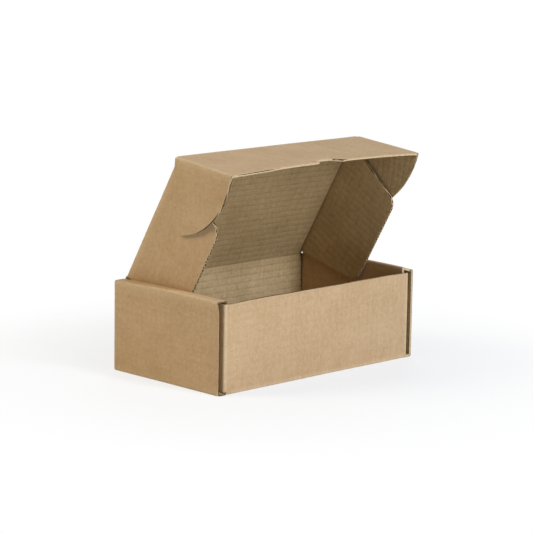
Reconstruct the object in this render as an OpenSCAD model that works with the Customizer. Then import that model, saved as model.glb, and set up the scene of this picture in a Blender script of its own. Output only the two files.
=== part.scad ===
// Die-cut mailer box folded from one sheet of single-wall corrugated board.
// The origin is the middle of the underside, the front faces -Y and +Z is up.

/* [Tray] */
// Outside length, left to right
tray_len = 250; // [200:5:320]
// Outside depth, front to back
tray_depth = 138; // [130:2:180]
// Height of the rolled sides
tray_height = 83; // [75:1:95]
// How far the front wall's cut edge lies below the rolled sides
front_drop = 2; // [1:0.5:4]
// How far the cut edges of the outer side walls lie behind the front and back faces
side_recess = 0.4; // [0:0.1:2]
// Free slot between each outer side wall and the corner flap next to it
side_slot = 3.8; // [3.4:0.2:6]
// Length of the corner flaps inside the sides
corner_flap_len = 58; // [40:1:60]

/* [Board] */
// Thickness of the board
board = 2.7; // [2.4:0.1:3]
// Distance from one flute to the next
flute_pitch = 6.5; // [6:0.1:7.5]
// Thickness of each liner
liner = 0.4; // [0.3:0.05:0.5]
// Thickness of the fluted middle paper
medium = 0.4; // [0.3:0.05:0.5]
// Length crushed shut beside a crease
crush = 5; // [3:0.5:8]
// Outside radius of a fixed fold
fold_r = 1.8; // [1.5:0.1:2.6]

/* [Locking tabs] */
// Length of each tab along the inner wall
tab_len = 28; // [20:1:34]
// Distance of each tab's middle from the middle of the side
tab_offset = 34; // [24:1:40]
// Clearance round a tab in its slot
tab_gap = 0.4; // [0.2:0.1:0.8]

/* [Lid] */
// Opening angle of the lid from its closed place
lid_open = 60; // [35:0.2:180]
// Gap between a lid side flap and the inner side wall
lid_gap = 0.4; // [0.3:0.1:1.5]
// Gap between the base and the closed side flap's free edge
flap_lift = 4; // [1:0.2:6]
// Taper of a side flap's edge by the hinge
back_taper = 15.5; // [8:0.5:20]
// Taper of a side flap's edge by the tuck flap
front_taper = 11.5; // [6:0.5:16]
// Radius of a side flap's corners
flap_corner_r = 11; // [6:1:14]
// Distance from the hinge to where a side flap starts
flap_start = 4; // [3:0.5:8]
// Distance from the tuck crease to where a side flap ends
flap_end = 5.4; // [4:0.2:9]

/* [Tuck flap] */
// Fold of the tuck flap out of the lid's plane
tuck_fold = 66.8; // [0:0.2:90]
// Gap between the front wall and the tuck flap folded over it
front_gap = 0.4; // [0.3:0.1:1.5]
// Height of the folded tuck flap's free edge over the table
tuck_lift = 4.8; // [2:0.2:10]
// Width of the thumb notch
notch_w = 26; // [20:1:36]
// Depth of the thumb notch
notch_depth = 8; // [6:0.5:14]
// Radius of the thumb notch's inner corners
notch_r = 5; // [3:0.5:5.5]
// Length of the split between the liners at the free edge's left part
split_len = 52; // [20:1:70]
// Height of that split at its middle
split_h = 1.1; // [0.4:0.1:1.4]

/* [Ears] */
// Fold of the ears out of the tuck flap's plane
ear_fold = 90; // [0:1:90]
// How far the folded ears lie inside the front wall's ends
ear_in = 0; // [0:0.1:1]
// Radius of an ear's round edge
ear_r = 82; // [78:0.5:90]
// How far that radius starts beyond the ear's fold
ear_lead = 12.5; // [8:0.5:16]
// Distance from the tuck crease to an ear's straight edge
ear_back = 2; // [2:0.5:8]
// Radius of an ear's lower corner
ear_corner_r = 12; // [8:0.5:16]

/* [Hidden] */
kraft = "#b8976a";
$fn = 64;
eps = 0.01;

// Running clearance of the creases that turn, and between plies that lie together
crease_gap = 0.3;
ply_gap = 0.3;
// Depth of the split in the tuck flap's free edge
split_depth = 2.4;
// Radius of the corner flaps' free corners
corner_flap_r = 8;
// Length of flute left open behind a locking tab's end
tab_flute = 9;

half_len = tray_len / 2;
half_depth = tray_depth / 2;
side_w = 3 * board + side_slot + ply_gap;
// Half length of the front and back walls, whose corner flaps lie beside the free slots
wall_half = half_len - board - side_slot;
side_half = half_depth - side_recess;
roll_half = half_depth - board - ply_gap;
inner_foot = board + ply_gap;

hinge_y = half_depth - board / 2;
hinge_z = tray_height - board / 2;
lid_half = half_len - side_w - lid_gap;
lid_len = tray_depth + front_gap;
flap_depth = tray_height - board - flap_lift;
tuck_half = wall_half - ear_in - board / 2;
tuck_len = hinge_z - tuck_lift;
// Middle of an ear's round edge along the fold, which ends level with the free edge
ear_mid = tuck_len - sqrt(pow(ear_r, 2) - pow(ear_lead, 2));

// Space between the liners of a flute, wide at one liner and narrow at the other
core = board / 2 - liner;
cell_wide = flute_pitch - 3.5 * medium;
cell_narrow = 2.5 * medium;

// A slab with one rounded corner at its origin end, for walls that start at a fold
module round_corner_square(size, r) {
    union() {
        translate([r, 0]) square([size[0] - r, size[1]]);
        translate([0, r]) square([size[0], size[1] - r]);
        translate([r, r]) circle(r);
    }
}

// Section of one open flute, wide towards +Y
module flute_section() {
    polygon([
        [-cell_wide / 2, core],
        [cell_wide / 2, core],
        [cell_narrow / 2, medium - core],
        [-cell_narrow / 2, medium - core]
    ]);
}

// Open flutes side by side along X, each running along +Z, with the board's thickness along Y
module flutes(span, length) {
    step = flute_pitch / 2;
    count = floor((span - cell_wide) / step);
    start = -count * step / 2;
    for (i = [0 : count])
        translate([start + i * step, 0, 0])
            rotate([0, 0, 180 * (i % 2)])
                linear_extrude(length) flute_section();
}

// Front or back wall seen from above, with the corner flaps' folds, drawn for the front
module wall_plan() {
    translate([0, -half_depth])
        for (s = [0, 1])
            mirror([s, 0])
                translate([-wall_half, 0])
                    round_corner_square([wall_half + eps, board], fold_r);
}

// Corner flap seen from the side, from the wall's inner face
module corner_flap_side(h) {
    r = corner_flap_r;
    union() {
        square([corner_flap_len - r, h]);
        translate([0, r]) square([corner_flap_len, h - 2 * r]);
        translate([corner_flap_len - r, r]) circle(r);
        translate([corner_flap_len - r, h - r]) circle(r);
    }
}

// Front wall with its corner flaps
module end_wall(height) {
    flap_h = tray_height - 2 * board - 2 * ply_gap;
    intersection() {
        linear_extrude(height) wall_plan();
        rotate([90, 0, 90])
            linear_extrude(tray_len, center = true)
                translate([-half_depth, 0]) round_corner_square([half_depth, height], fold_r);
    }
    for (s = [0, 1])
        mirror([s, 0, 0])
            translate([-wall_half, board - half_depth - eps, board + ply_gap])
                rotate([90, 0, 90])
                    linear_extrude(board) corner_flap_side(flap_h);
}

// Outer side wall up to the roll, and half of the base with the fold between them
module outer_side() {
    rotate([90, 0, 0])
        linear_extrude(2 * side_half, center = true)
            translate([-half_len, 0])
                difference() {
                    round_corner_square([half_len + eps, hinge_z], fold_r);
                    translate([board, board]) square([half_len, tray_height]);
                }
}

// Top panel and inner wall of a rolled side
module roll() {
    rotate([90, 0, 0])
        linear_extrude(2 * roll_half, center = true)
            translate([-half_len, 0])
                difference() {
                    translate([0, tray_height])
                        mirror([0, 1])
                            union() {
                                round_corner_square([side_w / 2 + eps, tray_height - inner_foot], fold_r);
                                translate([side_w, 0])
                                    mirror([1, 0])
                                        round_corner_square([side_w / 2, tray_height - inner_foot], fold_r);
                            }
                    translate([board, 0]) square([side_w - 2 * board, tray_height - board]);
                    translate([-eps, 0]) square([board, hinge_z - board]);
                }
}

// Locking tab under an inner side wall, with its flutes open at the end
module tab() {
    difference() {
        translate([0, 0, (inner_foot + eps) / 2])
            cube([board, tab_len, inner_foot + eps], center = true);
        translate([0, 0, -eps])
            rotate([0, 0, 90]) flutes(tab_len, inner_foot + 2 * eps);
    }
}

// Places what belongs to the locking tabs of the left side
module at_tabs() {
    for (s = [-1, 1])
        translate([board / 2 + side_w - board - half_len, s * tab_offset, 0]) children();
}

module left_half_side() {
    difference() {
        union() {
            outer_side();
            roll();
        }
        at_tabs() {
            cube([board + 2 * tab_gap, tab_len + 2 * tab_gap, 2 * board + eps], center = true);
            translate([0, 0, inner_foot - eps])
                rotate([0, 0, 90]) flutes(tab_len, tab_flute);
        }
    }
    at_tabs() tab();
}

// Crest that the lid turns on, along the top of the back wall
module lid_crest() {
    translate([0, hinge_y, hinge_z])
        rotate([0, 90, 0]) cylinder(r = board / 2, h = 2 * lid_half, center = true);
}

module tray() {
    color(kraft) {
        difference() {
            union() {
                for (s = [0, 1]) mirror([s, 0, 0]) left_half_side();
                end_wall(tray_height - front_drop);
                mirror([0, 1, 0]) end_wall(hinge_z);
                lid_crest();
                translate([-wall_half, -half_depth + fold_r, 0])
                    cube([2 * wall_half, tray_depth - 2 * fold_r, board]);
            }
            for (s = [0, 1])
                mirror([s, 0, 0])
                    at_tabs()
                        slot_ring();
        }
    }
}

// Clearance between a locking tab and the slot in the base
module slot_ring() {
    difference() {
        cube([board + 2 * tab_gap, tab_len + 2 * tab_gap, 2 * board + eps], center = true);
        cube([board, tab_len, 3 * board], center = true);
    }
}

// Socket round a crease that turns, along X through the origin
module crease_cut(length) {
    rotate([0, 90, 0]) cylinder(r = board / 2 + crease_gap, h = length, center = true);
}

// Board cut back square at a crease along X through the origin, on the side towards +Z
module crease_notch(length) {
    reach = board / 2 + crease_gap;
    translate([-length / 2, -reach, 0]) cube([length, reach + eps, 2 * reach]);
}

// Outline of a lid side flap, X away from the hinge and Y down from the lid's outer face
module flap_outline() {
    r = flap_corner_r;
    x0 = flap_start;
    x1 = lid_len - flap_end;
    b0 = x0 + (flap_depth - board) * tan(back_taper);
    b1 = x1 - (flap_depth - board) * tan(front_taper);
    t0 = r / tan(45 + back_taper / 2);
    t1 = r / tan(45 + front_taper / 2);
    union() {
        polygon([
            [x0, board],
            [x0, 0],
            [x1, 0],
            [x1, board],
            [b1 + t1 * sin(front_taper), flap_depth - t1 * cos(front_taper)],
            [b1 - t1, flap_depth],
            [b0 + t0, flap_depth],
            [b0 - t0 * sin(back_taper), flap_depth - t0 * cos(back_taper)]
        ]);
        translate([b0 + t0, flap_depth - r]) circle(r);
        translate([b1 - t1, flap_depth - r]) circle(r);
    }
}

// Left side flap in the closed lid's frame, with the fold's round edge and open flutes
module lid_side_flap() {
    difference() {
        intersection() {
            translate([0, 0, board / 2])
                rotate([90, 0, 0])
                    linear_extrude(lid_len)
                        translate([-lid_half, 0])
                            mirror([0, 1])
                                difference() {
                                    round_corner_square([board + fold_r, flap_depth], fold_r);
                                    translate([board, board]) square([board + fold_r, flap_depth]);
                                }
            translate([-lid_half - eps, 0, board / 2])
                rotate([180, 0, 0])
                    rotate([90, 0, 90])
                        linear_extrude(board + fold_r) flap_outline();
        }
        translate([board / 2 - lid_half, -(flap_start + lid_len - flap_end) / 2, board / 2 - flap_depth - eps])
            rotate([0, 0, 90]) flutes(lid_len - flap_start - flap_end, flap_depth - crush - board);
    }
}

// Lid in its closed frame: the hinge lies along X at the origin, the panel runs towards -Y
module lid_flat() {
    inner_half = lid_half - board;
    difference() {
        union() {
            translate([-inner_half - eps, -lid_len, -board / 2])
                cube([2 * inner_half + 2 * eps, lid_len, board]);
            translate([-lid_half, -flap_start, -board / 2])
                cube([2 * lid_half, flap_start, board]);
            translate([-lid_half, -lid_len, -board / 2])
                cube([2 * lid_half, flap_end, board]);
        }
        crease_cut(tray_len);
        crease_notch(tray_len);
        mirror([0, 0, 1]) crease_notch(tray_len);
    }
    translate([0, -lid_len, 0])
        rotate([0, 90, 0]) cylinder(r = board / 2, h = 2 * lid_half, center = true);
    for (s = [0, 1]) mirror([s, 0, 0]) lid_side_flap();
}

module at_lid() {
    translate([0, hinge_y, hinge_z]) rotate([-lid_open, 0, 0]) children();
}

module lid() {
    color(kraft) at_lid() lid_flat();
}

// Thumb notch, cut in from the free edge
module notch_outline() {
    flat = notch_w - 2 * notch_r;
    union() {
        translate([-flat / 2, 0]) square([flat, notch_depth]);
        translate([-notch_w / 2, -eps]) square([notch_w, notch_depth - notch_r + eps]);
        for (s = [-1, 1]) translate([s * flat / 2, notch_depth - notch_r]) circle(notch_r);
    }
}

// Tuck flap in its flat frame: the lid's crease lies along X at the origin
module tuck_flat() {
    socket_len = 2 * lid_half + 2 * crease_gap;
    difference() {
        union() {
            translate([-tuck_half, -tuck_len, -board / 2])
                cube([2 * tuck_half, tuck_len, board]);
            for (s = [-1, 1])
                translate([s * tuck_half, -tuck_len, 0])
                    rotate([-90, 0, 0]) cylinder(r = board / 2, h = tuck_len - ear_back);
        }
        crease_cut(tray_len);
        mirror([0, 0, 1]) crease_notch(tray_len);
        translate([0, -tuck_len, -board])
            linear_extrude(2 * board) notch_outline();
        notch_flutes();
        free_edge_split();
    }
}

// Flutes that the thumb notch opens, running towards the ears
module notch_flutes() {
    reach = tuck_half - crush;
    translate([-reach, -tuck_len + notch_depth / 2, 0])
        rotate([0, 90, 0])
            rotate([0, 0, 90])
                flutes(notch_depth + cell_wide / 2, 2 * reach);
}

// Liners gaping at the left part of the free edge
module free_edge_split() {
    translate([-tuck_half + crush, -tuck_len - eps, 0])
        rotate([-90, 0, 0])
            linear_extrude(split_depth)
                polygon([[0, 0], [split_len / 2, split_h / 2], [split_len, 0], [split_len / 2, -split_h / 2]]);
}

module at_tuck() {
    at_lid() translate([0, -lid_len, 0]) rotate([tuck_fold, 0, 0]) children();
}

module tuck_flap() {
    color(kraft) at_tuck() tuck_flat();
}

// Outline of an ear: X away from the fold, Y from the tuck crease to the free edge
module ear_outline() {
    inner = ear_r - ear_corner_r;
    mid_y = ear_back + ear_corner_r;
    mid_x = sqrt(pow(inner, 2) - pow(mid_y - ear_mid, 2)) - ear_lead;
    touch_x = (mid_x + ear_lead) * ear_r / inner - ear_lead;
    touch_y = ear_mid + (mid_y - ear_mid) * ear_r / inner;
    big = 2 * ear_r;
    union() {
        intersection() {
            translate([-ear_lead, ear_mid]) circle(ear_r, $fn = 180);
            polygon([
                [board / 2, ear_back],
                [mid_x, ear_back],
                [mid_x, mid_y],
                [touch_x, touch_y],
                [big, touch_y],
                [big, big],
                [board / 2, big]
            ]);
        }
        translate([mid_x, mid_y]) circle(ear_corner_r);
    }
}

// Right ear lying flat beside the tuck flap, with the fold along Y at the origin
module ear_flat() {
    difference() {
        translate([-board / 2, 0, -board / 2])
            mirror([0, 1, 0])
                linear_extrude(board) ear_outline();
        rotate([0, 0, 90]) crease_cut(4 * tuck_len);
        rotate([0, 0, 90]) mirror([0, 0, 1]) crease_notch(4 * tuck_len);
        translate([crush, -(tuck_len + ear_back) / 2, 0])
            rotate([0, 90, 0])
                rotate([0, 0, 90]) flutes(tuck_len - ear_back, 2 * ear_r);
    }
}

module right_ear() {
    color(kraft)
        at_tuck() translate([tuck_half, 0, 0]) rotate([0, ear_fold, 0]) ear_flat();
}

module left_ear() {
    color(kraft)
        at_tuck() mirror([1, 0, 0]) translate([tuck_half, 0, 0]) rotate([0, ear_fold, 0]) ear_flat();
}

tray();
lid();
tuck_flap();
left_ear();
right_ear();
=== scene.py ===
import math

import bmesh
import bpy
import numpy as np
from mathutils import Matrix, Vector


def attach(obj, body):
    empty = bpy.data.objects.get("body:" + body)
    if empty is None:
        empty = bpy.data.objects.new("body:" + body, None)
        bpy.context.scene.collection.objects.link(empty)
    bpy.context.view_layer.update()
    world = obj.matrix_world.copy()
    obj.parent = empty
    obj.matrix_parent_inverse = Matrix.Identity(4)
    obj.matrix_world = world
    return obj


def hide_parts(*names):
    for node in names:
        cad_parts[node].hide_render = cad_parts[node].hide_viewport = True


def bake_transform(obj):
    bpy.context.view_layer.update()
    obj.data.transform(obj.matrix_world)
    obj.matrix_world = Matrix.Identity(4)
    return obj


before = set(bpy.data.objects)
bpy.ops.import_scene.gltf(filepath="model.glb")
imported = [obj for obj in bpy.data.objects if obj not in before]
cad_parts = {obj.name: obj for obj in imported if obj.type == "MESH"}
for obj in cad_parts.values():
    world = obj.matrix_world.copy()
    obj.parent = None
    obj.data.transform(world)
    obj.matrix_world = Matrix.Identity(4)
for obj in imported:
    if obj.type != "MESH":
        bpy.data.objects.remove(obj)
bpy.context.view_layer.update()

mm = 0.001
scene = bpy.context.scene

# Corrugated mailer box: one sheet of board, die-cut and creased flat, then folded. Sizes are in millimetres

# Board: two kraft liners glued to a wavy middle paper
board = {
    "thick": 2.7,
    "liner": 0.42,
    "medium": 0.36,
    "pitch": 6.5,
    "skew": 0.006,             # flutes run a little off square to the cuts
    "outerFold": 1.8,          # outside radius of a creased fold
    "innerFold": 0.5,
    "creaseReach": 2.2,        # how far from a fold the crease shows: rubbed pale outside, painted shade inside
    "edgeCrush": 0.05,         # share of the thickness lost at a cut edge
    "edgeReach": 1.3,
    "frayReach": 0.8,          # papers frayed thick at a cut edge
    "frayLiner": 0.36,
    "frayShare": 0.8,          # share of the core that frayed flutes fill between two hollows
    "wander": 0.096,           # slow waviness of every panel
    "waves": ((41, 37), (17, 23), (29, 9.1)),   # its lengths over two pi, along and across the flutes
    "wavePhase": (1.3, 0.4),
    "waveShare": (0.5, 0.35),
}
half = board["thick"] / 2

# Mesh: steps in millimetres, fine across the flutes and at cut edges, coarse along the flutes
mesh = {
    "perFlute": 8,
    "coarse": 7.0,
    "front": 3.0,
    "tuck": 4.0,
    "perFold": 8,
    "tail": (2.6, 1.3, 0.5),   # distances from a cut edge
    "tailGap": 0.3,            # least share of a step before the first of them
    "round": (0, 11, 22, 34, 46, 58, 68, 77, 84, 90),   # degrees round a corner that is cut round
    "notch": (8.0, 9.0, 10.0, 11.0, 11.8, 12.4, 12.8, 13.0, 13.04),
    "nick": 0.03,              # width of a sharp step in a cut
    "nickSlack": 0.01,         # points this near to a step's start are still before it
    "sharpFrom": 38,           # degrees
}
fine, coarse = board["pitch"] / mesh["perFlute"], mesh["coarse"]
plainTail = mesh["tail"] + (0.0,)
farOff = 99.0                  # stands for no fold or no cut edge near by
outsideSlot, insideSlot, cutSlot, fluteSlot, coreSlot = range(5)


# Both surfaces of a folded strip, seen in section, at stations that match. The corners lie on its middle
# line, outward says on which side of it the outside is, and tail holds distances of stations from its end
def foldSection(corners, outward, step, tail):
    points = [np.array(corner, float) for corner in corners]
    ways = [(b - a) / np.linalg.norm(b - a) for a, b in zip(points, points[1:])]
    lefts = [np.array([-way[1], way[0]]) for way in ways]

    def surface(side):
        runs = [[points[0] + side * half * lefts[0]]]
        for i in range(1, len(points) - 1):
            before, after, left, nextLeft = ways[i - 1], ways[i], lefts[i - 1], lefts[i]
            meet = points[i] + side * half * (left + nextLeft) / (1 + left @ nextLeft)
            turn = math.atan2(before[0] * after[1] - before[1] * after[0], before @ after)
            sign = 1 if turn > 0 else -1
            radius = board["outerFold"] if side * sign < 0 else board["innerFold"]
            centre = meet - before * radius * math.tan(abs(turn) / 2) + sign * left * radius
            arm = -sign * left
            arc = []
            for k in range(mesh["perFold"] + 1):
                sine, cosine = math.sin(turn * k / mesh["perFold"]), math.cos(turn * k / mesh["perFold"])
                arc.append(centre + radius * np.array([arm[0] * cosine - arm[1] * sine,
                                                       arm[0] * sine + arm[1] * cosine]))
            runs.append(arc)
        runs.append([points[-1] + side * half * lefts[-1]])
        return runs

    outerRuns, innerRuns = surface(outward), surface(-outward)
    outer, inner, last = [], [], []
    final = len(points) - 2
    for i in range(final + 1):
        outerFrom, outerTo = outerRuns[i][-1], outerRuns[i + 1][0]
        innerFrom, innerTo = innerRuns[i][-1], innerRuns[i + 1][0]
        length = np.linalg.norm((outerTo + innerTo - outerFrom - innerFrom) / 2)
        cuts = set(np.round(np.linspace(0, 1, max(1, math.ceil(length / step)) + 1), 6))
        if i == final:
            cuts = {c for c in cuts if (1 - c) * length > max(tail) + mesh["tailGap"] * step or c in (0, 1)}
            cuts |= {round(1 - d / length, 6) for d in tail if d < length}
        for c in sorted(cuts):
            outer.append(outerFrom + (outerTo - outerFrom) * c)
            inner.append(innerFrom + (innerTo - innerFrom) * c)
            last.append(c if i == final else 0.0)
        if i < final:
            outer += outerRuns[i + 1][1:-1]
            inner += innerRuns[i + 1][1:-1]
            last += [0.0] * (mesh["perFold"] - 1)
    outer, inner = np.array(outer), np.array(inner)
    middle = (outer + inner) / 2
    run = np.r_[0, np.cumsum(np.linalg.norm(np.diff(middle, axis=0), axis=1))]
    toFold = np.array([min([np.linalg.norm(m - p) for p in points[1:-1]] or [farOff]) for m in middle])
    crease = np.exp(-(toFold / board["creaseReach"]) ** 2)
    return {"outer": outer, "inner": inner, "middle": middle, "run": run, "last": np.array(last),
            "way": ways[-1], "crease": crease}


# Stations from the end of a strip whose corners are cut round
def roundTail(radius):
    return tuple(radius * (1 - math.sin(math.radians(a))) for a in mesh["round"])


# Places of a patch's columns across its width, from 0 to 1; cut edges and extra places get their own
def columns(low, high, step, extra=(), cutEdges=True):
    width = high - low
    places = list(np.linspace(0, 1, max(1, math.ceil(width / step)) + 1))
    if cutEdges:
        near = [d / width for d in reversed(mesh["tail"])]
        places = [v for v in places if v in (0, 1) or near[-1] < v < 1 - near[-1]]
        places += near + [1 - v for v in near]
    places += [(x - low) / width for x in extra]
    return np.array(sorted(set(np.round(places, 7))))


# A panel's slow waviness: three crossed waves
def panelWave(a, b):
    (longA, longB), (middleA, middleB), (shortA, shortB) = board["waves"]
    slow = np.sin(a / longA + board["wavePhase"][0]) * np.sin(b / longB + board["wavePhase"][1])
    middle = board["waveShare"][0] * np.sin(a / middleA + b / middleB)
    return slow + middle + board["waveShare"][1] * np.sin(b / shortB - a / shortA)


# Collects the board's patches of one piece, and the place on the flat sheet of each of their points
class Sheet:
    def __init__(self, name, ribShare=1.0):
        self.name, self.ribShare, self.count = name, ribShare, 0
        self.verts, self.faces, self.slots, self.sheet, self.crease = [], [], [], [], []

    # One paper of a patch, between two heights in the board; slots are its upper, lower and rim materials
    def slab(self, patch, high, low, slots):
        rows, cols = patch["outer"].shape[:2]
        for height in (high, low):
            share = ((height + half) / (2 * half))[..., None]
            self.verts.append((patch["inner"] + (patch["outer"] - patch["inner"]) * share).reshape(-1, 3))
            self.sheet.append(np.stack([patch["a"], patch["b"], height], -1).reshape(-1, 3))
            self.crease.append(patch["crease"].reshape(-1))
        upper = np.arange(rows * cols).reshape(rows, cols) + self.count
        lower = upper + rows * cols
        self.count += 2 * rows * cols
        ring = np.r_[upper[0, :], upper[1:, -1], upper[-1, -2::-1], upper[-2:0:-1, 0]]
        lowerRing = ring + rows * cols
        rim = np.stack([ring, np.roll(ring, -1), np.roll(lowerRing, -1), lowerRing], -1)
        quads = [np.stack([grid[:-1, :-1], grid[1:, :-1], grid[1:, 1:], grid[:-1, 1:]], -1).reshape(-1, 4)
                 for grid in (upper, lower)]
        for faces, slot in zip(quads + [rim], slots):
            self.faces.append(faces)
            self.slots.append(np.full(len(faces), slot))

    # One patch of board: a section swept across its width. The flutes run along the section or across it,
    # a0 and b0 are its start on the flat sheet, and cut names its raw sides. trim cuts its end back, bulge
    # bends it, sideCrush presses its raw sides thin, and filled is the share of each flute that is shut
    def add(self, section, extents, place, across, flutesAlong, a0, b0, aSign=1, bSign=1, trim=None,
            bulge=None, cut="end", sideCrush=0.0, filled=None, creased=1.0, innerCut=coreSlot, shutCrush=0.0):
        run, last = section["run"], section["last"]
        low, high = np.array([extents(s, m) for s, m in zip(run, section["middle"])]).T
        w = low[:, None] + (high - low)[:, None] * across[None, :]
        trimmed = trim(w) if trim else 0 * w
        cutBack = trimmed * last[:, None]
        step = -cutBack[..., None] * section["way"]
        outer = place(section["outer"][:, None, :] + step, w)
        inner = place(section["inner"][:, None, :] + step, w)
        along = run[:, None] - cutBack
        a, b = (a0 + aSign * along, b0 + bSign * w) if flutesAlong else (a0 + aSign * w, b0 + bSign * along)

        toEnd = (run[-1] - trimmed) - along if "end" in cut else np.full(w.shape, farOff)
        toSide = np.minimum(w - low[:, None] if "low" in cut else farOff,
                            high[:, None] - w if "high" in cut else farOff) + 0 * w
        toCut = np.minimum(toEnd, toSide)
        atEdge = np.exp(-(toCut / board["edgeReach"]) ** 2)
        pressed = sideCrush * np.exp(-(toSide / (2 * board["edgeReach"])) ** 2)
        shut = filled(w, along) if filled else 0 * w
        crush = 1 - board["edgeCrush"] * atEdge - pressed - shutCrush * shut * atEdge

        middle, span = (outer + inner) / 2, (outer - inner) / 2
        middle = middle + span * pressed[..., None]
        length = np.linalg.norm(span, axis=-1, keepdims=True)
        middle = middle + span / length * (board["wander"] * panelWave(a, b))[..., None] * mm
        if bulge:
            middle = middle + bulge(along, w) * mm
        span = span * crush[..., None]
        crease = np.broadcast_to(creased * section["crease"][:, None], w.shape)
        patch = {"outer": middle + span, "inner": middle - span, "a": a, "b": b, "crease": crease}

        wave = np.sin(2 * math.pi * (b + board["skew"] * a) / board["pitch"])
        fray = np.exp(-(toCut / board["frayReach"]) ** 2)
        room = half - board["liner"] - fray * (board["frayLiner"] - board["liner"])
        flute = board["medium"] / 2
        flute = flute + fray * board["frayShare"] * (1 - wave ** 2) ** 3 * (room - flute)
        flute = flute + (room - flute) * shut * fray
        swing = (room - flute) * wave
        face = half + 0 * w
        self.slab(patch, face, room, (outsideSlot, fluteSlot, cutSlot))
        self.slab(patch, swing + flute, swing - flute, (fluteSlot, fluteSlot, cutSlot))
        self.slab(patch, -room, -face, (fluteSlot, insideSlot, innerCut))

    def build(self):
        data = bpy.data.meshes.new(self.name)
        verts, faces = np.concatenate(self.verts), np.concatenate(self.faces)
        data.vertices.add(len(verts))
        data.vertices.foreach_set("co", verts.astype(np.float32).ravel())
        data.loops.add(len(faces) * 4)
        data.loops.foreach_set("vertex_index", faces.astype(np.int32).ravel())
        data.polygons.add(len(faces))
        data.polygons.foreach_set("loop_start", np.arange(0, len(faces) * 4, 4, dtype=np.int32))
        data.update(calc_edges=True)
        data.polygons.foreach_set("material_index", np.concatenate(self.slots).astype(np.int32))
        sheet = data.attributes.new("sheet", "FLOAT_VECTOR", "POINT")
        sheet.data.foreach_set("vector", np.concatenate(self.sheet).astype(np.float32).ravel())
        crease = data.attributes.new("crease", "FLOAT", "POINT")
        crease.data.foreach_set("value", np.concatenate(self.crease).astype(np.float32))
        ribShare = data.attributes.new("ribShare", "FLOAT", "POINT")
        ribShare.data.foreach_set("value", np.full(len(verts), self.ribShare, np.float32))
        bm = bmesh.new()
        bm.from_mesh(data)
        bmesh.ops.recalc_face_normals(bm, faces=bm.faces)
        bm.to_mesh(data)
        bm.free()
        data.shade_smooth()
        data.set_sharp_from_angle(angle=math.radians(mesh["sharpFrom"]))
        for material in (kraftOutside, kraftInside, cutEdge, fluteInside, coreEdge):
            data.materials.append(material)
        piece = bpy.data.objects.new(self.name, data)
        scene.collection.objects.link(piece)
        return piece


# sRGB hex code to linear colour
def linear(code):
    parts = [int(code[i:i + 2], 16) / 255 for i in (1, 3, 5)]
    return [v / 12.92 if v <= 0.04045 else ((v + 0.055) / 1.055) ** 2.4 for v in parts] + [1.0]


# Adds one shader node; each input is a value or another node's output
def addNode(tree, kind, settings, inputs, out=0):
    node = tree.nodes.new(kind)
    for key, value in settings.items():
        setattr(node, key, value)
    for key, value in inputs.items():
        if isinstance(value, bpy.types.NodeSocket):
            tree.links.new(value, node.inputs[key])
        else:
            node.inputs[key].default_value = value
    return node.outputs[out]


# Liners, the board's two faces: colours as the sheet shows them
liners = {
    "kraftOutside": {
        "tones": ("#B39165", "#C4A47C", "#D3B58F"),
        "ribs": 0.06,                    # strength of the ribs
        "rough": (0.74, 0.86),
        "creaseWearAndShadeTone": "#DCC49E",
        "creaseShare": (0.35, 0.7),
        "creasePower": 1.2,              # narrows the crease's line
    },
    "kraftInside": {
        "tones": ("#A1885F", "#BEA479", "#D5BC94"),
        "ribs": 0.34,
        "rough": (0.78, 0.9),
        # painted shade: the dark line along the inside creases
        "creaseWearAndShadeTone": "#4A361D",
        "creaseShare": (0.7, 0.95),
        "creasePower": 3.0,
    },
}

# Patterns of the liners, with sizes in millimetres on the flat sheet
paper = {
    # stretch along and across the flutes, size, detail, share of the tone
    "grain": (((1.0, 0.28, 1.0), 0.9, 4.0, 0.26), ((1.0, 0.07, 0.0), 3.4, 3.0, 0.16),
              ((1.0, 1.0, 1.0), 2.6, 3.0, 0.30), ((1.0, 1.0, 1.0), 38.0, 3.0, 0.22)),
    "grainSpan": (0.3, 0.7),             # levels of noise from darkest to lightest
    # rib tone: partly glue lines, partly painted shade of the washboard relief
    "ribGlueAndShadeTone": "#7E6744",
    "ribWidth": 0.62,                    # a rib shows where the wave is deeper than this
    "ribBreaks": 7.0,                    # size of the stretches where ribs come and go
    "ribDetail": 3.0,
    "ribStretch": (0.55, 1.0, 0.0),
    "ribSpan": (0.35, 0.6),
    "ribFaint": 0.35,                    # strength of the faintest rib next to the strongest
    "creaseSpan": (0.35, 0.65),
    "fibreHeight": 0.035,
    "ribHeight": 0.12,
    "leastHeight": 0.006,
    "specular": 0.22,                    # paper has no gloss to speak of
    "ior": 1.5,
}

# Raw paper, without a liner's smooth pressed face
raw = {
    "cutEdge": {"tones": ("#B4946A", "#DFCAA4"), "size": 0.8},
    "coreEdge": {"tones": ("#7A6040", "#AB8A5C"), "size": 0.8},
    # painted shade: near-black hollows between the flutes
    "fluteInside": {"tones": ("#190F05", "#2E1F0D"), "size": 1.2},
    "span": (0.35, 0.65),
    "detail": 4.0,
    "rough": 0.9,
    "specular": 0.15,
}
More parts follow.
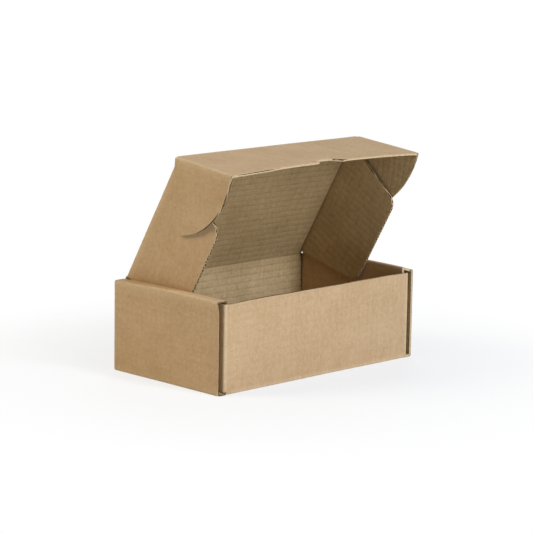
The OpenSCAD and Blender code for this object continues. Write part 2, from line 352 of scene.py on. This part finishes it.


# One liner: mottled long-fibre paper, with thin darker ribs over the flute tips, partly glue showing through
# and partly painted shade of the washboard relief
def linerPaper(name):
    liner = liners[name]
    material = bpy.data.materials.new(name)
    material.use_nodes = True
    tree = material.node_tree
    shader = tree.nodes["Principled BSDF"]
    dark, base, light = (linear(tone) for tone in liner["tones"])
    sheet = addNode(tree, "ShaderNodeAttribute", {"attribute_name": "sheet"}, {}, "Vector")
    crease = addNode(tree, "ShaderNodeAttribute", {"attribute_name": "crease"}, {}, "Fac")
    darkest, lightest = paper["grainSpan"]
    tone, grain = 0.0, []
    for stretch, size, detail, share in paper["grain"]:
        place = addNode(tree, "ShaderNodeVectorMath", {"operation": "MULTIPLY"}, {0: sheet, 1: stretch})
        grain.append(addNode(tree, "ShaderNodeTexNoise", {},
                             {"Vector": place, "Scale": 1 / size, "Detail": detail}))
        level = addNode(tree, "ShaderNodeMapRange", {},
                        {0: grain[-1], 1: darkest, 2: lightest, 3: -share, 4: share})
        tone = addNode(tree, "ShaderNodeMath", {"operation": "ADD"}, {0: tone, 1: level})
    fibre = grain[0]
    shade = addNode(tree, "ShaderNodeMapRange", {}, {0: tone, 1: -1.0, 2: 0.0})
    colour = addNode(tree, "ShaderNodeMix", {"data_type": "RGBA"}, {0: shade, 6: dark, 7: base}, 2)
    shade = addNode(tree, "ShaderNodeMapRange", {}, {0: tone, 1: 0.0, 2: 1.0})
    colour = addNode(tree, "ShaderNodeMix", {"data_type": "RGBA"}, {0: shade, 6: colour, 7: light}, 2)

    # ribs follow the waves of the middle paper, and come and go
    turn = 2 * math.pi / board["pitch"]
    phase = addNode(tree, "ShaderNodeVectorMath", {"operation": "DOT_PRODUCT"},
                    {0: sheet, 1: (board["skew"] * turn, turn, 0.0)}, "Value")
    wave = addNode(tree, "ShaderNodeMath", {"operation": "SINE"}, {0: phase})
    ridge = addNode(tree, "ShaderNodeMapRange", {}, {0: wave, 1: -paper["ribWidth"], 2: -1.0})
    place = addNode(tree, "ShaderNodeVectorMath", {"operation": "MULTIPLY"},
                    {0: sheet, 1: paper["ribStretch"]})
    breaks = addNode(tree, "ShaderNodeTexNoise", {},
                     {"Vector": place, "Scale": 1 / paper["ribBreaks"], "Detail": paper["ribDetail"]})
    strength = addNode(tree, "ShaderNodeMapRange", {},
                       {0: breaks, 1: paper["ribSpan"][0], 2: paper["ribSpan"][1],
                        3: paper["ribFaint"] * liner["ribs"], 4: liner["ribs"]})
    ridge = addNode(tree, "ShaderNodeMath", {"operation": "MULTIPLY"}, {0: ridge, 1: strength})
    share = addNode(tree, "ShaderNodeAttribute", {"attribute_name": "ribShare"}, {}, "Fac")
    ridge = addNode(tree, "ShaderNodeMath", {"operation": "MULTIPLY"}, {0: ridge, 1: share})
    # painted shade in part: the rib tone darkens the lines where the washboard relief is shaded
    colour = addNode(tree, "ShaderNodeMix", {"data_type": "RGBA"},
                     {0: ridge, 6: colour, 7: linear(paper["ribGlueAndShadeTone"])}, 2)

    # outside, a crease is rubbed pale; inside, a narrow dark line along it is painted shade of the closed
    # fold
    creaseWearAndShade = addNode(tree, "ShaderNodeMapRange", {},
                   {0: fibre, 1: paper["creaseSpan"][0], 2: paper["creaseSpan"][1],
                    3: liner["creaseShare"][0], 4: liner["creaseShare"][1]})
    narrow = addNode(tree, "ShaderNodeMath", {"operation": "POWER"}, {0: crease, 1: liner["creasePower"]})
    creaseWearAndShade = addNode(tree, "ShaderNodeMath", {"operation": "MULTIPLY"}, {0: creaseWearAndShade, 1: narrow})
    colour = addNode(tree, "ShaderNodeMix", {"data_type": "RGBA"},
                     {0: creaseWearAndShade, 6: colour, 7: linear(liner["creaseWearAndShadeTone"])}, 2)

    rough = addNode(tree, "ShaderNodeMapRange", {},
                    {0: fibre, 1: darkest, 2: lightest, 3: liner["rough"][0], 4: liner["rough"][1]})
    height = addNode(tree, "ShaderNodeMath", {"operation": "MULTIPLY"}, {0: fibre, 1: paper["fibreHeight"]})
    ribHeight = paper["ribHeight"] * liner["ribs"] + paper["leastHeight"]
    height = addNode(tree, "ShaderNodeMath", {"operation": "MULTIPLY_ADD"},
                     {0: wave, 1: ribHeight, 2: height})
    bump = addNode(tree, "ShaderNodeBump", {}, {"Strength": 1.0, "Distance": mm, "Height": height})
    tree.links.new(colour, shader.inputs["Base Color"])
    tree.links.new(rough, shader.inputs["Roughness"])
    tree.links.new(bump, shader.inputs["Normal"])
    shader.inputs["Specular IOR Level"].default_value = paper["specular"]
    shader.inputs["IOR"].default_value = paper["ior"]
    return material


# Raw paper: matt, with a short grain and nothing else
def rawPaper(name):
    material = bpy.data.materials.new(name)
    material.use_nodes = True
    tree = material.node_tree
    shader = tree.nodes["Principled BSDF"]
    dark, light = (linear(tone) for tone in raw[name]["tones"])
    sheet = addNode(tree, "ShaderNodeAttribute", {"attribute_name": "sheet"}, {}, "Vector")
    grain = addNode(tree, "ShaderNodeTexNoise", {},
                    {"Vector": sheet, "Scale": 1 / raw[name]["size"], "Detail": raw["detail"]})
    shade = addNode(tree, "ShaderNodeMapRange", {}, {0: grain, 1: raw["span"][0], 2: raw["span"][1]})
    colour = addNode(tree, "ShaderNodeMix", {"data_type": "RGBA"}, {0: shade, 6: dark, 7: light}, 2)
    tree.links.new(colour, shader.inputs["Base Color"])
    shader.inputs["Roughness"].default_value = raw["rough"]
    shader.inputs["Specular IOR Level"].default_value = raw["specular"]
    return material


# Outer liner: warm tan kraft, matt, with fine fibres and only a hint of the ribs
kraftOutside = linerPaper("kraftOutside")
# Inner liner: greyer kraft with thin darker lines over the flute tips, partly glue showing through and partly
# painted shade of the washboard relief
kraftInside = linerPaper("kraftInside")
# Cut paper: the pale torn fibres along every raw edge
cutEdge = rawPaper("cutEdge")
# Cut inner liner: browner and darker than the outer one, which ends the pale rim with a darker line
coreEdge = rawPaper("coreEdge")
# Flute paper and the liners' hidden faces: near black, painted shade of the deep hollows seen at the cut
# edges
fluteInside = rawPaper("fluteInside")
print("materials made")

# Tray: base, front and back walls with their corner flaps, and a rolled side at each end
tray = {
    "halfLength": 125.0, "halfDepth": 69.0, "height": 83.0,
    "baseEnd": 64.0,                                         # the walls' strips start here
    "slotIn": 112.4, "slotOut": 115.9, "slotHalf": 14.4,     # slots of the locking tabs
    "seam": 0.1,                                             # gap between two strips side by side
    "frontTop": 81.0, "backTop": 78.0, "hingeZ": 81.65,
    "frontDips": ((-108.0, 9.0, 1.0), (106.0, 10.0, 0.5)),   # places, reaches and depths
    "frontWave": 0.25, "frontWaves": (13.0, 31.0), "frontPhase": 1.0,
    "cornerStart": 114.5, "wallHalf": 118.5,                 # a corner flap's fold lies between these
    "cornerFlap": 58.0, "cornerRadius": 8.0, "cornerTop": 80.0,
    "backCornerTop": 80.3, "frontCornerTop": 80.65, "footGap": 0.05, "bendZone": 0.5,
    "foot": 3.0,                                             # where the inner walls end, above the base
    "tabMiddle": 34.0, "tabHalf": 14.0,
    "sideY": 68.6, "rollY": 66.0, "innerBack": 64.5,         # ends of outer walls, of rolls, of inner walls
    "rollInner": 112.8, "rollFrom": 0.8, "rollZone": 1.0,    # inner faces of the rolls, reach of their folds
    "crown": 0.9, "crownHalf": 70.0, "crownFrom": 60.0,      # the rolls' tops are higher in the middle
    "rise": 0.35,                                            # and a little higher all along
}
# Rolled sides: how far the front edge is pressed thin, how much higher the inner edge stands, the height
# from which the front end is cut back, and the share of the flutes that is shut
rolls = {
    "Left": {"side": -1, "crushed": 0.5, "lift": 0.0, "slantFrom": 73.0, "shut": 0.0},
    "Right": {"side": 1, "crushed": 0.0, "lift": 3.0, "slantFrom": 81.6, "shut": 0.8},
}
trayMid = tray["halfDepth"] - half
baseEnd, slotIn, slotOut = tray["baseEnd"], tray["slotIn"], tray["slotOut"]


# A section in Y and Z, swept along X
def sweptAlongX(p, w):
    p = np.broadcast_to(p, w.shape + (2,))
    return np.stack([w, p[..., 0], p[..., 1]], -1) * mm


# base: one wide panel, and at its ends the strips between the slots of the locking tabs
def baseStrip(y0, y1, x0, x1, across):
    section = foldSection([(y0, half), (y1, half)], -1, fine, plainTail)
    base.add(section, lambda s, m: (x0, x1), sweptAlongX, across, False, 0, y0, cut="")


base = Sheet("basePanel")
baseStrip(-baseEnd, baseEnd, -slotIn, slotIn, columns(-slotIn, slotIn, coarse, cutEdges=False))
for side in (-1, 1):
    x0, x1 = sorted((side * slotIn, side * slotOut))
    before, after = tray["tabMiddle"] - tray["slotHalf"], tray["tabMiddle"] + tray["slotHalf"]
    for y0, y1 in ((-baseEnd, -after), (-before, before), (after, baseEnd)):
        baseStrip(y0, y1, x0, x1, np.linspace(0, 1, 3))
base = base.build()
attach(base, "tray")


# The front and back walls run out to the rolled sides below, and to their corner flaps above
def wallEnds(s, m):
    x = slotOut - tray["seam"] if m[1] < board["thick"] else tray["cornerStart"]
    return -x, x


# front wall: its raw top edge is a little wavy
def frontTrim(x):
    short, long = tray["frontWaves"]
    dips = sum(depth * np.exp(-((x - place) / reach) ** 2) for place, reach, depth in tray["frontDips"])
    return dips + tray["frontWave"] * np.sin(x / short) * np.sin(x / long + tray["frontPhase"])


section = foldSection([(-baseEnd, half), (-trayMid, half), (-trayMid, tray["frontTop"])], 1, fine, plainTail)
across = columns(-tray["cornerStart"], tray["cornerStart"], mesh["front"], cutEdges=False)
front = Sheet("frontWall")
front.add(section, wallEnds, sweptAlongX, across, False, 0, -baseEnd, bSign=-1, trim=frontTrim)
front = front.build()
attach(front, "tray")


# back wall: between its ends it stops below the crease, where the lid's panel starts
def backTrim(x):
    return np.where(np.abs(x) < slotIn + tray["seam"] / 2, tray["hingeZ"] - tray["backTop"], 0.0)


section = foldSection([(baseEnd, half), (trayMid, half), (trayMid, tray["hingeZ"])], -1, fine,
                      (tray["hingeZ"] - tray["backTop"],) + plainTail)
backRun = section["run"][-1]
marks = [side * (slotIn + step) for side in (-1, 1) for step in (0, tray["seam"])]
across = columns(-tray["cornerStart"], tray["cornerStart"], coarse, marks, False)
back = Sheet("backWall")
back.add(section, wallEnds, sweptAlongX, across, False, 0, baseEnd, trim=backTrim, cut="")
back = back.build()
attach(back, "tray")


# Corner flaps, folded back from the front and back walls inside the rolled sides
def cornerFlap(name, side, end):
    x, endY = tray["wallHalf"] - half, tray["halfDepth"] - board["thick"] - tray["cornerFlap"]
    radius = tray["cornerRadius"]
    corners = [(tray["cornerStart"], trayMid), (x, trayMid), (x, endY)]
    section = foldSection(corners, 1, coarse, roundTail(radius))

    def place(p, w):
        p = np.broadcast_to(p, w.shape + (2,))
        return np.stack([side * p[..., 0], end * p[..., 1], w], -1) * mm

    def extents(s, m):
        if m[1] > tray["halfDepth"] - board["thick"] - tray["bendZone"]:
            top = tray["frontCornerTop"] if end < 0 else tray["backCornerTop"]
            return board["thick"] + tray["footGap"], top
        inset = radius - math.sqrt(max(0.0, radius * radius - max(0.0, endY + radius - m[1]) ** 2))
        return tray["foot"] + inset, tray["cornerTop"] - inset

    flap = Sheet(name)
    across = columns(tray["foot"], tray["cornerTop"], fine, cutEdges=False)
    flap.add(section, extents, place, across, True, side * tray["cornerStart"], end * trayMid, aSign=side,
             bSign=end)
    flap = flap.build()
    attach(flap, "tray")
    return flap


cornerFlaps = [cornerFlap("cornerFlap" + left + near, side, end)
               for left, side in (("Left", -1), ("Right", 1)) for near, end in (("Front", -1), ("Back", 1))]
print("walls made")


# Rolled sides: outer wall, narrow top and inner wall with two locking tabs
def rolledSide(name, roll):
    side = roll["side"]
    outerX, innerX = tray["halfLength"] - half, tray["rollInner"] + half
    topZ = tray["height"] - half
    corners = [(slotOut, half), (outerX, half), (outerX, topZ), (innerX, topZ), (innerX, tray["foot"])]
    section = foldSection(corners, -1, coarse, plainTail)

    def extents(s, m):
        onRoll = m[0] < outerX - tray["rollFrom"] and m[1] > tray["foot"] + tray["rollZone"]
        slant = min(1.0, max(0.0, (m[1] - roll["slantFrom"]) / (topZ - roll["slantFrom"])))
        front = tray["rollY"] if onRoll else tray["sideY"] - slant * (tray["sideY"] - tray["rollY"])
        innerWall = m[0] < innerX + tray["rollZone"] and m[1] < topZ
        return -front, tray["innerBack"] if innerWall else tray["sideY"]

    def place(p, w):
        p = np.broadcast_to(p, w.shape + (2,))
        inwards = np.clip((outerX - p[..., 0]) / (outerX - innerX), 0, 1)
        tilt = roll["lift"] * inwards * np.clip(p[..., 1] / topZ, 0, 1)
        crowned = np.clip((p[..., 1] - tray["crownFrom"]) / (tray["height"] - tray["crownFrom"]), 0, 1)
        crown = tray["crown"] * (1 - (w / tray["crownHalf"]) ** 2)
        return np.stack([side * p[..., 0], w, p[..., 1] + (crown + tray["rise"]) * crowned + tilt], -1) * mm

    def tabs(y):
        fromMiddle = np.abs(np.abs(y) - tray["tabMiddle"])
        return np.where(fromMiddle < tray["tabHalf"] + mesh["nickSlack"], -tray["foot"], 0.0)

    marks = [end * (tray["tabMiddle"] + edge * (tray["tabHalf"] + step))
             for end in (-1, 1) for edge in (-1, 1) for step in (0, mesh["nick"])]
    strip = Sheet(name)
    across = columns(-tray["rollY"], tray["rollY"], fine, marks)
    strip.add(section, extents, place, across, True, side * slotOut, 0, aSign=side, trim=tabs, cut="low high",
              sideCrush=roll["crushed"], filled=lambda w, along: roll["shut"] + 0 * w)
    strip = strip.build()
    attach(strip, "tray")
    return strip


sides = [rolledSide("rolledSide" + name, roll) for name, roll in rolls.items()]
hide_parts("tray")
print("tray made")

# Lid: its panel, creased along the back wall's top, and a flap at each end
lid = {
    "open": 60.0,                # degrees above level
    "half": 112.4, "length": 138.4, "panelHalf": 107.0,
    "flapStart": 4.0, "flapEnd": 5.4,     # distances of its flaps from the hinge and from the far edge
    "creased": 0.3,              # the crease shows less where the board is one panel
    "bendReach": 1.8,
    "flapRibs": 0.3,             # the ribs, partly painted shade, show less on the flaps, whose inner faces lie in shade
    "flapDepth": 76.3, "bendZone": 2.0, "cornerRadius": 11.0,
    "taperFrom": 3.0, "backTaper": 15.5, "frontTaper": {-1: 15.9, 1: 11.5},   # degrees, left and right
}
opened = math.radians(lid["open"])
lidY, lidZ = -math.cos(opened), math.sin(opened)      # the way from the hinge to the tuck flap
outY, outZ = math.sin(opened), math.cos(opened)       # the way out of the lid's outside
hingeY, hingeZ = trayMid, tray["hingeZ"]
lidRun = baseEnd + backRun                            # the hinge's place on the flat sheet


# A place on the lid's middle line
def onLid(distance):
    return hingeY + lidY * distance, hingeZ + lidZ * distance


# Ends of a bend: a reach before and behind a crease, along the way that halves its turn
def bendEnds(crease, before, after, reach):
    wayY, wayZ = (before[0] + after[0]) / 2, (before[1] + after[1]) / 2
    length = math.hypot(wayY, wayZ)
    return [(0, (crease[0] + s * reach * wayY / length) * mm, (crease[1] + s * reach * wayZ / length) * mm)
            for s in (-1, 1)]


flapStart, flapStop = lid["flapStart"], lid["length"] - lid["flapEnd"]
panel = Sheet("lidPanel")
section = foldSection([(hingeY, tray["backTop"]), (hingeY, hingeZ), onLid(flapStart)], -1, fine, (0.0,))
across = columns(-lid["half"], lid["half"], coarse)
panel.add(section, lambda s, m: (-lid["half"], lid["half"]), sweptAlongX, across, False, 0,
          lidRun - (tray["hingeZ"] - tray["backTop"]), cut="low high", creased=lid["creased"])
section = foldSection([onLid(flapStart), onLid(flapStop)], -1, fine, (0.0,))
across = columns(-lid["panelHalf"], lid["panelHalf"], coarse, cutEdges=False)
panel.add(section, lambda s, m: (-lid["panelHalf"], lid["panelHalf"]), sweptAlongX, across, False, 0,
          lidRun + flapStart, cut="")
panel = panel.build()
bend = bendEnds((hingeY, hingeZ), (0, 1), (lidY, lidZ), lid["bendReach"])
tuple(bend[0])
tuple(bend[1])
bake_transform(panel)
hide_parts("lid")


# Lid flaps: tapered on both sides, with round corners
def lidFlap(name, side):
    depth, radius, taperFrom = lid["flapDepth"], lid["cornerRadius"], lid["taperFrom"]
    x = lid["half"] - half
    section = foldSection([(lid["panelHalf"], 0), (x, 0), (x, half - depth)], 1, coarse, roundTail(radius))

    # Distance of a tapered edge from the lid's end, at a depth below the lid
    def edge(y, start, taper):
        taper = math.radians(taper)
        if y < depth - radius + radius * math.sin(taper):
            return start + max(0.0, y - taperFrom) * math.tan(taper)
        centre = start + (depth - taperFrom) * math.tan(taper) + radius / math.tan(math.pi / 4 + taper / 2)
        return centre - math.sqrt(max(0.0, radius * radius - (y - depth + radius) ** 2))

    def extents(s, m):
        y = half - m[1] if m[0] > lid["panelHalf"] + lid["bendZone"] else 0.0
        return (edge(y, lid["flapStart"], lid["backTaper"]),
                lid["length"] - edge(y, lid["flapEnd"], lid["frontTaper"][side]))

    def place(p, w):
        p = np.broadcast_to(p, w.shape + (2,))
        y, z = onLid(w)
        return np.stack([side * p[..., 0], y + outY * p[..., 1], z + outZ * p[..., 1]], -1) * mm

    flap = Sheet(name, lid["flapRibs"])
    across = columns(flapStart, flapStop, fine)
    flap.add(section, extents, place, across, True, side * lid["panelHalf"], lidRun, aSign=side,
             cut="end low high")
    flap = flap.build()
    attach(flap, "lid")


lidFlap("lidFlapLeft", -1)
lidFlap("lidFlapRight", 1)
print("lid made")

# Tuck flap, creased along the lid's far edge, and an ear creased along each of its ends
tuck = {
    "fold": 65.9,                # degrees out of the lid's plane
    "half": 117.15, "panelHalf": 113.2, "length": 76.45, "bendReach": 1.4, "bendZone": 0.5,
    "bow": 2.8, "bowPower": 1.6,
    "notchHalf": 13.0, "notchDepth": 8.0, "notchRadius": 5.0,
    "edgeWave": 0.12, "edgeWaveLength": 11.0,
    "shutCrush": 0.38,           # share of the thickness lost where the flutes are shut
    "splitStart": -108.0, "splitEnd": -76.0, "splitFilled": 0.4, "splitReach": (8.0, 12.0),
    "notchOpen": 14.0, "notchOpenReach": 6.0,
}
# Ears: how far the fold runs outwards and the tip leans in
ears = {
    "Left": {"side": -1, "body": "left_ear", "flare": 3.0, "lean": 4.9},
    "Right": {"side": 1, "body": "right_ear", "flare": 0.0, "lean": 2.7},
}
# Outline of an ear: its straight back edge, the front arc, whose middle lies a lead beyond the fold, and
# the round corner; then the bend, how the lean grows towards the tip, and the mesh
earShape = {
    "back": 2.0, "radius": 82.0, "lead": 12.5, "corner": 12.0, "bendReach": 1.2, "bendZone": 2.0,
    "leanFrom": 4.0, "leanOver": 70.0, "leanPower": 1.5, "shutReach": 5.0,
    "meshWidth": 73.0,
}
folded = opened - math.radians(tuck["fold"])
tuckY, tuckZ = -math.cos(folded), math.sin(folded)      # the way from the crease to the free edge
faceY, faceZ = math.sin(folded), math.cos(folded)       # the way out of the flap's outside
creaseY, creaseZ = onLid(lid["length"])
tuckLength = tuck["length"]


# The thumb notch and a slight waviness of the free edge
def notchTrim(x):
    radius, flat = tuck["notchRadius"], tuck["notchHalf"] - tuck["notchRadius"]
    pastFlat = np.clip(np.abs(x) - flat, 0, radius)
    depth = tuck["notchDepth"] - radius + np.sqrt(radius * radius - pastFlat * pastFlat)
    notch = np.where(np.abs(x) < tuck["notchHalf"] + mesh["nickSlack"], depth, 0.0)
    return notch + tuck["edgeWave"] * np.sin(x / tuck["edgeWaveLength"])


# The flap bows outwards in its middle, most of all at the free edge
def tuckBow(along, w):
    grown = np.clip((along - lid["flapEnd"]) / tuckLength, 0, 1) ** tuck["bowPower"]
    amount = tuck["bow"] * grown * (1 - (w / tuck["panelHalf"]) ** 2)
    return np.stack([0 * amount, faceY * amount, faceZ * amount], -1)


# Share of the free edge's flute that is crushed shut: a split on the left stays open in part, and it is
# open beside the notch
def tuckFilled(x, along):
    before, after = tuck["splitReach"]
    shut = np.clip((x - tuck["splitEnd"]) / after, 0, 1) + np.clip((tuck["splitStart"] - x) / before, 0, 1)
    shut = tuck["splitFilled"] + (1 - tuck["splitFilled"]) * shut
    return shut * (1 - np.exp(-((x - tuck["notchOpen"]) / tuck["notchOpenReach"]) ** 2))


# The fold of an ear runs outwards towards the free edge
def flare(name, along):
    return ears[name]["flare"] * np.clip(along / tuckLength, 0, 1)


# The strip is as wide as the lid up to the crease, and reaches the ears' strips beyond it
def tuckEnds(s, m):
    along = s - lid["flapEnd"]
    if along < -tuck["bendZone"]:
        return -lid["half"], lid["half"]
    return -tuck["panelHalf"] - flare("Left", along), tuck["panelHalf"] + flare("Right", along)


tuckRun = lidRun + flapStop
freeEdge = (creaseY + tuckY * tuckLength, creaseZ + tuckZ * tuckLength)
section = foldSection([onLid(flapStop), (creaseY, creaseZ), freeEdge], -1, fine, plainTail)
marks = [side * x for side in (-1, 1) for x in mesh["notch"]]
across = columns(-tuck["panelHalf"], tuck["panelHalf"], mesh["tuck"], marks, False)
tuckPanel = Sheet("tuckPanel")
tuckPanel.add(section, tuckEnds, sweptAlongX, across, False, 0, tuckRun, trim=notchTrim, bulge=tuckBow,
              filled=tuckFilled, innerCut=cutSlot, shutCrush=tuck["shutCrush"])
tuckPanel = tuckPanel.build()
bend = bendEnds((creaseY, creaseZ), (lidY, lidZ), (tuckY, tuckZ), tuck["bendReach"])
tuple(bend[0])
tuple(bend[1])
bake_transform(tuckPanel)
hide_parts("tuck_flap")


# Ears: a straight back edge, a large arc for the front edge and a round corner between them
def makeEar(name, ear):
    side, big, lead, small = ear["side"], earShape["radius"], earShape["lead"], earShape["corner"]
    bigY = tuckLength - math.sqrt(big * big - lead * lead)
    smallY = earShape["back"] + small
    smallX = math.sqrt((big - small) ** 2 - (smallY - bigY) ** 2) - lead
    touchX = (smallX + lead) * big / (big - small) - lead
    corners = [(tuck["panelHalf"], 0), (tuck["half"], 0), (tuck["half"], -(smallX + small))]
    section = foldSection(corners, 1, coarse, roundTail(small))

    def extents(s, m):
        x = -m[1] if m[0] > tuck["panelHalf"] + earShape["bendZone"] else 0.0
        halfWidth = math.sqrt(max(0.0, small * small - max(0.0, x - smallX) ** 2))
        low = earShape["back"] if x < smallX else smallY - halfWidth
        high = bigY + math.sqrt(big * big - (x + lead) ** 2) if x < touchX else smallY + halfWidth
        return low, high

    def place(p, w):
        p = np.broadcast_to(p, w.shape + (2,))
        y, z = creaseY + tuckY * w, creaseZ + tuckZ * w
        return np.stack([side * (p[..., 0] + flare(name, w)), y + faceY * p[..., 1], z + faceZ * p[..., 1]],
                        -1) * mm

    def leanIn(along, w):
        tip = np.clip((along - earShape["leanFrom"]) / earShape["leanOver"], 0, 1)
        amount = -side * ear["lean"] * tip ** earShape["leanPower"]
        return np.stack([amount, 0 * amount, 0 * amount], -1)

    def earFilled(w, along):
        return np.exp(-(along / earShape["shutReach"]) ** 2)

    piece = Sheet("ear" + name)
    across = columns(0, earShape["meshWidth"], fine)
    piece.add(section, extents, place, across, True, side * tuck["panelHalf"], tuckRun + lid["flapEnd"],
              aSign=side, cut="end low high", bulge=leanIn, filled=earFilled)
    piece = piece.build()
    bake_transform(piece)
    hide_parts(ear["body"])


for name, ear in ears.items():
    makeEar(name, ear)
print("tuck flap and ears made")

# Studio: white sweep, two soft front lights, a warm one from behind on the left, a weak one opposite
studio = {
    "floor": "#F4F4F2",
    "floorHalf": 12.0,
    "floorRough": 0.9,
    "fadeFrom": 0.12, "fadeTo": 0.34, "fadeLeast": 0.7,
    "ambient": 0.04,
    "aim": (0.0, 0.0, 0.09),
    "lampDistance": 2.2,
    # azimuth, elevation, size, power, colour
    "lamps": {
        "frontLamp": (0, 20, 1.1, 20.7, (0.97, 1.01, 1.02)),
        "windowLamp": (8, 39, 0.35, 20.2, (0.85, 0.94, 1.21)),
        "leftLamp": (-125, 42, 1.1, 24.8, (1.12, 1.03, 0.85)),
        "backLamp": (130, 35, 1.1, 9.5, (0.78, 1.01, 1.21)),
    },
}

floorMesh = bpy.data.meshes.new("floor")
reach = studio["floorHalf"]
corners = [(-reach, -reach, 0), (reach, -reach, 0), (reach, reach, 0), (-reach, reach, 0)]
floorMesh.from_pydata(corners, [], [(0, 1, 2, 3)])
floor = bpy.data.objects.new("floor", floorMesh)
scene.collection.objects.link(floor)

# White sweep: it keeps the soft shadow round the box and fades to plain white further out
white = (1, 1, 1, 1)
sweep = bpy.data.materials.new("studioFloor")
sweep.use_nodes = True
tree = sweep.node_tree
shader = tree.nodes["Principled BSDF"]
shader.inputs["Base Color"].default_value = linear(studio["floor"])
shader.inputs["Roughness"].default_value = studio["floorRough"]
place = addNode(tree, "ShaderNodeTexCoord", {}, {}, "Object")
length = addNode(tree, "ShaderNodeVectorMath", {"operation": "LENGTH"}, {0: place}, "Value")
far = addNode(tree, "ShaderNodeMapRange", {},
              {0: length, 1: studio["fadeFrom"], 2: studio["fadeTo"], 3: studio["fadeLeast"]})
seen = addNode(tree, "ShaderNodeLightPath", {}, {}, "Is Camera Ray")
share = addNode(tree, "ShaderNodeMath", {"operation": "MULTIPLY"}, {0: far, 1: seen})
glow = addNode(tree, "ShaderNodeEmission", {}, {"Color": white, "Strength": 1.0})
shown = addNode(tree, "ShaderNodeMixShader", {}, {0: share, 1: shader.outputs[0], 2: glow})
tree.links.new(shown, tree.nodes["Material Output"].inputs["Surface"])
floorMesh.materials.append(sweep)

# World: weak light on the box, plain white to the camera
world = bpy.data.worlds.new("studioWorld")
scene.world = world
world.use_nodes = True
tree = world.node_tree
dim = tree.nodes["Background"]
dim.inputs["Color"].default_value = white
dim.inputs["Strength"].default_value = studio["ambient"]
seen = addNode(tree, "ShaderNodeLightPath", {}, {}, "Is Camera Ray")
bright = addNode(tree, "ShaderNodeBackground", {}, {"Color": white, "Strength": 1.0})
shown = addNode(tree, "ShaderNodeMixShader", {}, {0: seen, 1: dim.outputs[0], 2: bright})
tree.links.new(shown, tree.nodes["World Output"].inputs["Surface"])


# Unit vector from the middle towards an azimuth and elevation in degrees
def towards(azimuth, elevation):
    az, el = math.radians(azimuth), math.radians(elevation)
    return Vector((math.sin(az) * math.cos(el), -math.cos(az) * math.cos(el), math.sin(el)))


for name, (azimuth, elevation, size, power, colour) in studio["lamps"].items():
    data = bpy.data.lights.new(name, "AREA")
    data.shape, data.size, data.energy, data.color = "DISK", size, power, colour
    lamp = bpy.data.objects.new(name, data)
    lamp.location = Vector(studio["aim"]) + towards(azimuth, elevation) * studio["lampDistance"]
    lamp.rotation_euler = towards(azimuth, elevation).to_track_quat("Z", "Y").to_euler()
    scene.collection.objects.link(lamp)

# Camera as the photo was taken: angles in degrees, lengths in millimetres, focal length in pixels
view = {
    "azimuth": -44.727, "elevation": 10.381, "roll": 0.918,
    "target": (-0.16, 0, 90.907), "distance": 2180.7,
    "focal": 2373.05, "frame": 533, "sensor": 36, "farClip": 50000,
}
backward = towards(view["azimuth"], view["elevation"])
right = Vector((0, 0, 1)).cross(backward).normalized()
up = backward.cross(right)
roll = math.radians(view["roll"])
across = right * math.cos(roll) + up * math.sin(roll)
upward = up * math.cos(roll) - right * math.sin(roll)
cameraData = bpy.data.cameras.new("camera")
cameraData.sensor_width = view["sensor"]
cameraData.lens = view["focal"] * view["sensor"] / view["frame"]
cameraData.clip_end = view["farClip"] * mm
camera = bpy.data.objects.new("camera", cameraData)
scene.collection.objects.link(camera)
turn = Matrix((across, upward, backward)).transposed().to_4x4()
turn.translation = (Vector(view["target"]) + backward * view["distance"]) * mm
camera.matrix_world = turn
scene.camera = camera
scene.view_settings.view_transform = "Standard"
print("stage made")
